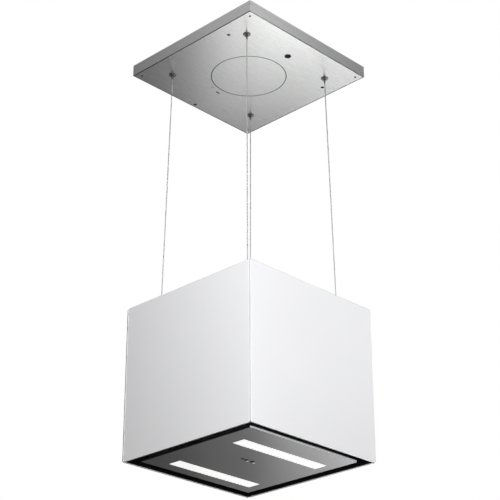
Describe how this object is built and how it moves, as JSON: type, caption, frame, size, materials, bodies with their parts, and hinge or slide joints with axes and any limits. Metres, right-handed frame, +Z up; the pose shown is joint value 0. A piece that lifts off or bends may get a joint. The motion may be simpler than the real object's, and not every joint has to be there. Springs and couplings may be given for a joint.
{
  "type": "island range hood",
  "caption": "Cube-shaped recirculating island hood in white glass with a drop-down perimeter suction panel and two light bars, hung on wires from a square steel ceiling box.",
  "frame": {"origin": "centre of the ceiling plane, on the upper face of the bracket that is screwed to the ceiling; the hood hangs below at negative Z", "axes": "+Z up, -Y towards the front pane of the cube, X across it, with +X to the right of someone facing the front"},
  "size_m": [0.41, 0.41, 1.035],
  "materials": {
    "brushed_steel": "satin",
    "galvanised_steel": "matte",
    "dark_nickel": "satin",
    "wire_steel": "satin",
    "black_rubber": "matte",
    "white_glass": "gloss",
    "white_paint": "satin",
    "satin_black": "satin",
    "dark_glass": "gloss",
    "light_diffuser": "satin",
    "circuit_board": "satin",
    "black_plastic": "satin",
    "aluminium": "satin",
    "charcoal_fibre": "matte",
    "motor_steel": "satin"
  },
  "bodies": {
    "ceiling": {"ceiling_frame": "brushed_steel", "ceiling_plate": "brushed_steel", "ceiling_bracket": "galvanised_steel", "duct_blanking_disc": "brushed_steel", "cable_grommet": "black_rubber", "wire_anchor_1": "dark_nickel", "wire_anchor_2": "dark_nickel", "wire_anchor_3": "dark_nickel", "wire_anchor_4": "dark_nickel", "plate_screw_1": "brushed_steel", "plate_screw_2": "brushed_steel", "plate_screw_3": "brushed_steel", "plate_screw_4": "brushed_steel", "suspension_wire_1": "wire_steel", "suspension_wire_2": "wire_steel", "suspension_wire_3": "wire_steel", "suspension_wire_4": "wire_steel"},
    "hood": {"glass_front": "white_glass", "glass_rear": "white_glass", "glass_left": "white_glass", "glass_right": "white_glass", "top_panel": "white_paint", "top_frame": "galvanised_steel", "bottom_frame": "galvanised_steel", "suction_frame": "satin_black", "corner_post_1": "galvanised_steel", "corner_post_2": "galvanised_steel", "corner_post_3": "galvanised_steel", "corner_post_4": "galvanised_steel", "wire_gripper_1": "dark_nickel", "wire_gripper_2": "dark_nickel", "wire_gripper_3": "dark_nickel", "wire_gripper_4": "dark_nickel", "cable_gland": "black_plastic", "filter_frame": "aluminium", "filter_mesh": "aluminium", "catch_housing": "black_plastic", "hinge_bracket_left": "galvanised_steel", "hinge_bracket_right": "galvanised_steel", "blower_housing": "galvanised_steel", "motor_body": "motor_steel", "motor_bracket": "galvanised_steel", "outlet_plenum": "galvanised_steel", "charcoal_filter": "charcoal_fibre", "electronics_box": "galvanised_steel", "electronics_lid": "galvanised_steel", "led_driver": "white_paint"},
    "suction_panel": {"panel_face": "dark_glass", "panel_tray": "galvanised_steel", "light_diffuser_front": "light_diffuser", "light_diffuser_rear": "light_diffuser", "led_board_front": "circuit_board", "led_board_rear": "circuit_board", "touch_board": "circuit_board", "hinge_pin_left": "dark_nickel", "hinge_pin_right": "dark_nickel"},
    "fan_wheel": {"impeller": "black_plastic", "motor_shaft": "motor_steel"},
    "latch": {"filter_latch": "black_plastic"},
    "catch": {"catch_plunger": "dark_nickel"}
  },
  "joints": [
    {"name": "height_adjust", "type": "slide", "parent": "ceiling", "child": "hood", "axis": [0, 0, 1], "range_m": [0, 0.075]},
    {"name": "panel_hinge", "type": "hinge", "parent": "hood", "child": "suction_panel", "pos_m": [0, 0.156, -1.008], "axis": [1, 0, 0], "range_deg": [0, 85]},
    {"name": "fan_spin", "type": "hinge", "parent": "hood", "child": "fan_wheel", "pos_m": [0, -0.02, -0.845], "axis": [1, 0, 0], "continuous": true},
    {"name": "filter_latch_slide", "type": "slide", "parent": "hood", "child": "latch", "axis": [0, 1, 0], "range_m": [0, 0.004], "stiffness_N_per_m": 150, "springref_m": -0.004},
    {"name": "catch_slide", "type": "slide", "parent": "hood", "child": "catch", "axis": [0, 0, 1], "range_m": [0, 0.004], "stiffness_N_per_m": 300, "springref_m": -0.004}
  ]
}
